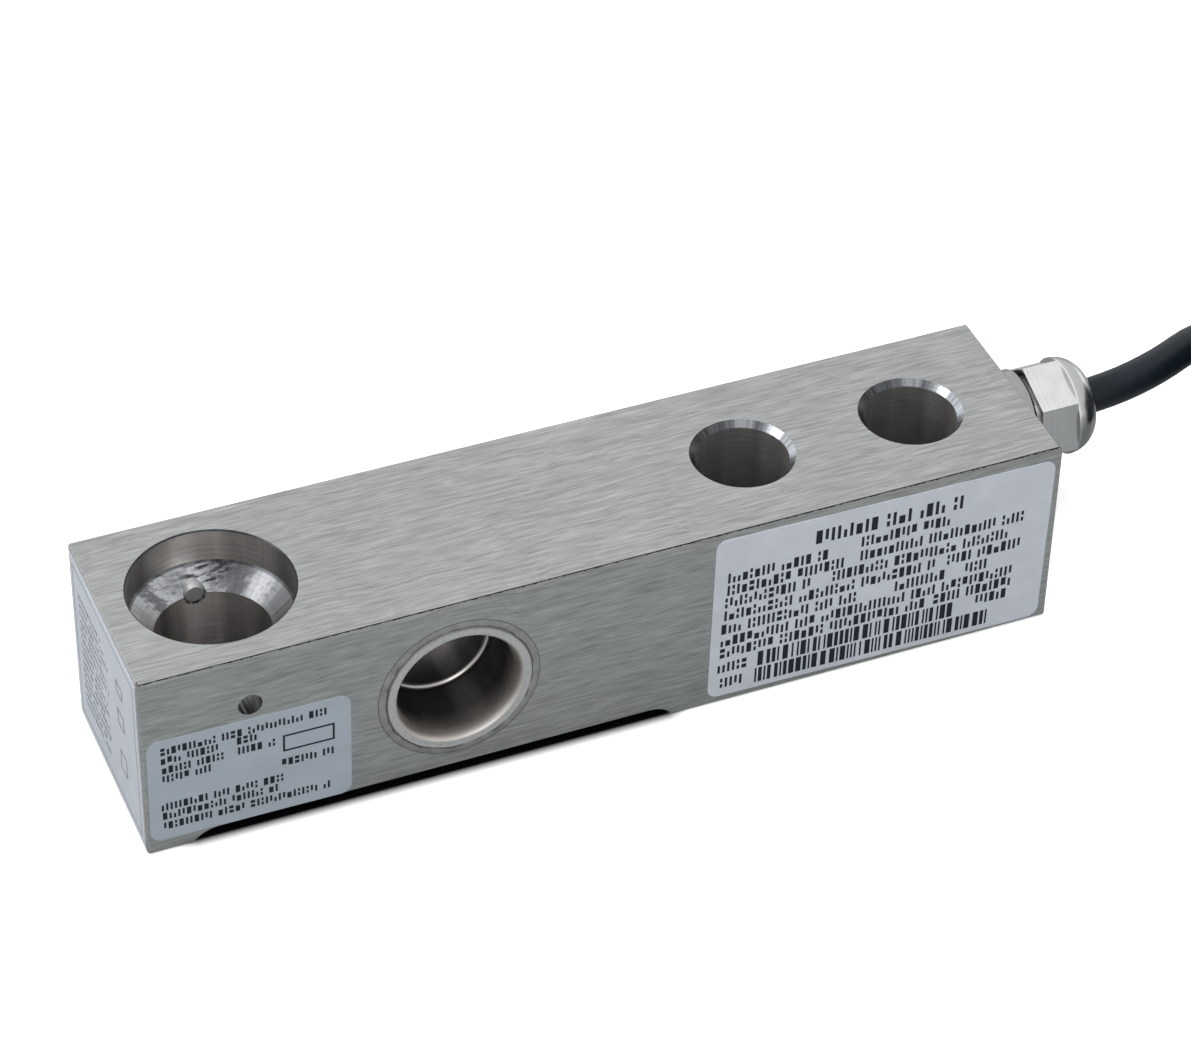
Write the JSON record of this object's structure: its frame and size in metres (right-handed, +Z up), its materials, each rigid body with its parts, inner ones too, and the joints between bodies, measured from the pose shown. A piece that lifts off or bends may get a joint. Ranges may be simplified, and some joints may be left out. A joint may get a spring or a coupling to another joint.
{
  "type": "shear beam load cell",
  "caption": "Stainless single-ended shear beam load cell: square beam with a stepped load hole, sealed gauge cups, mounting holes and a cable gland with a coiled cable.",
  "frame": {"origin": "centre of the mounting hole pattern on the beam's base face", "axes": "+X along the beam towards the cable gland, +Y away from the face with the rating label, +Z up"},
  "size_m": [0.246, 0.0683, 0.0413],
  "materials": {
    "beam_steel": "ground along the beam, satin",
    "cup_steel": "drawn and polished",
    "weld_steel": "fine weld bead, brushed level",
    "turned_steel": "turned, bright",
    "pin_steel": "ground",
    "label_foil": "silver label foil, satin, with simple printed shapes",
    "cable_jacket": "smooth black jacket with a slight sheen",
    "seal_rubber": "moulded rubber",
    "gasket_rubber": "flat rubber washer",
    "ring_plastic": "moulded nylon",
    "tie_plastic": "moulded nylon",
    "gauge_film": "amber polyimide film",
    "gauge_foil": "etched alloy foil",
    "silicone": "clear soft silicone",
    "circuit_board": "green lacquered board",
    "resistor_body": "moulded chip",
    "wire_insulation": "plain insulation",
    "core_red": "plain insulation",
    "core_black": "plain insulation",
    "core_green": "plain insulation",
    "core_white": "plain insulation",
    "tinned_copper": "tinned strands, twisted"
  },
  "bodies": {
    "root": {"beam_body": "beam_steel", "locating_pin": "pin_steel", "front_gauge_cup": "cup_steel", "rear_gauge_cup": "cup_steel", "front_cup_weld": "weld_steel", "rear_cup_weld": "weld_steel", "front_gauge_film": "gauge_film", "rear_gauge_film": "gauge_film", "front_gauge_grids": "gauge_foil", "rear_gauge_grids": "gauge_foil", "front_gauge_coating": "silicone", "rear_gauge_coating": "silicone", "bridge_board": "circuit_board", "trim_resistors": "resistor_body", "bridge_wires": "wire_insulation", "signal_wires": "wire_insulation", "channel_seal": "silicone", "gland_gasket": "gasket_rubber", "gland_body": "turned_steel", "gland_seal": "seal_rubber", "thrust_ring": "ring_plastic", "gland_nut": "turned_steel", "rating_label": "label_foil", "approval_label": "label_foil", "end_label": "label_foil", "cable_lead": "cable_jacket", "cable_coil": "cable_jacket", "coil_tie": "tie_plastic", "conductor_red": "core_red", "conductor_black": "core_black", "conductor_green": "core_green", "conductor_white": "core_white", "shield_drain": "tinned_copper", "tinned_tips": "tinned_copper"}
  },
  "joints": []
}
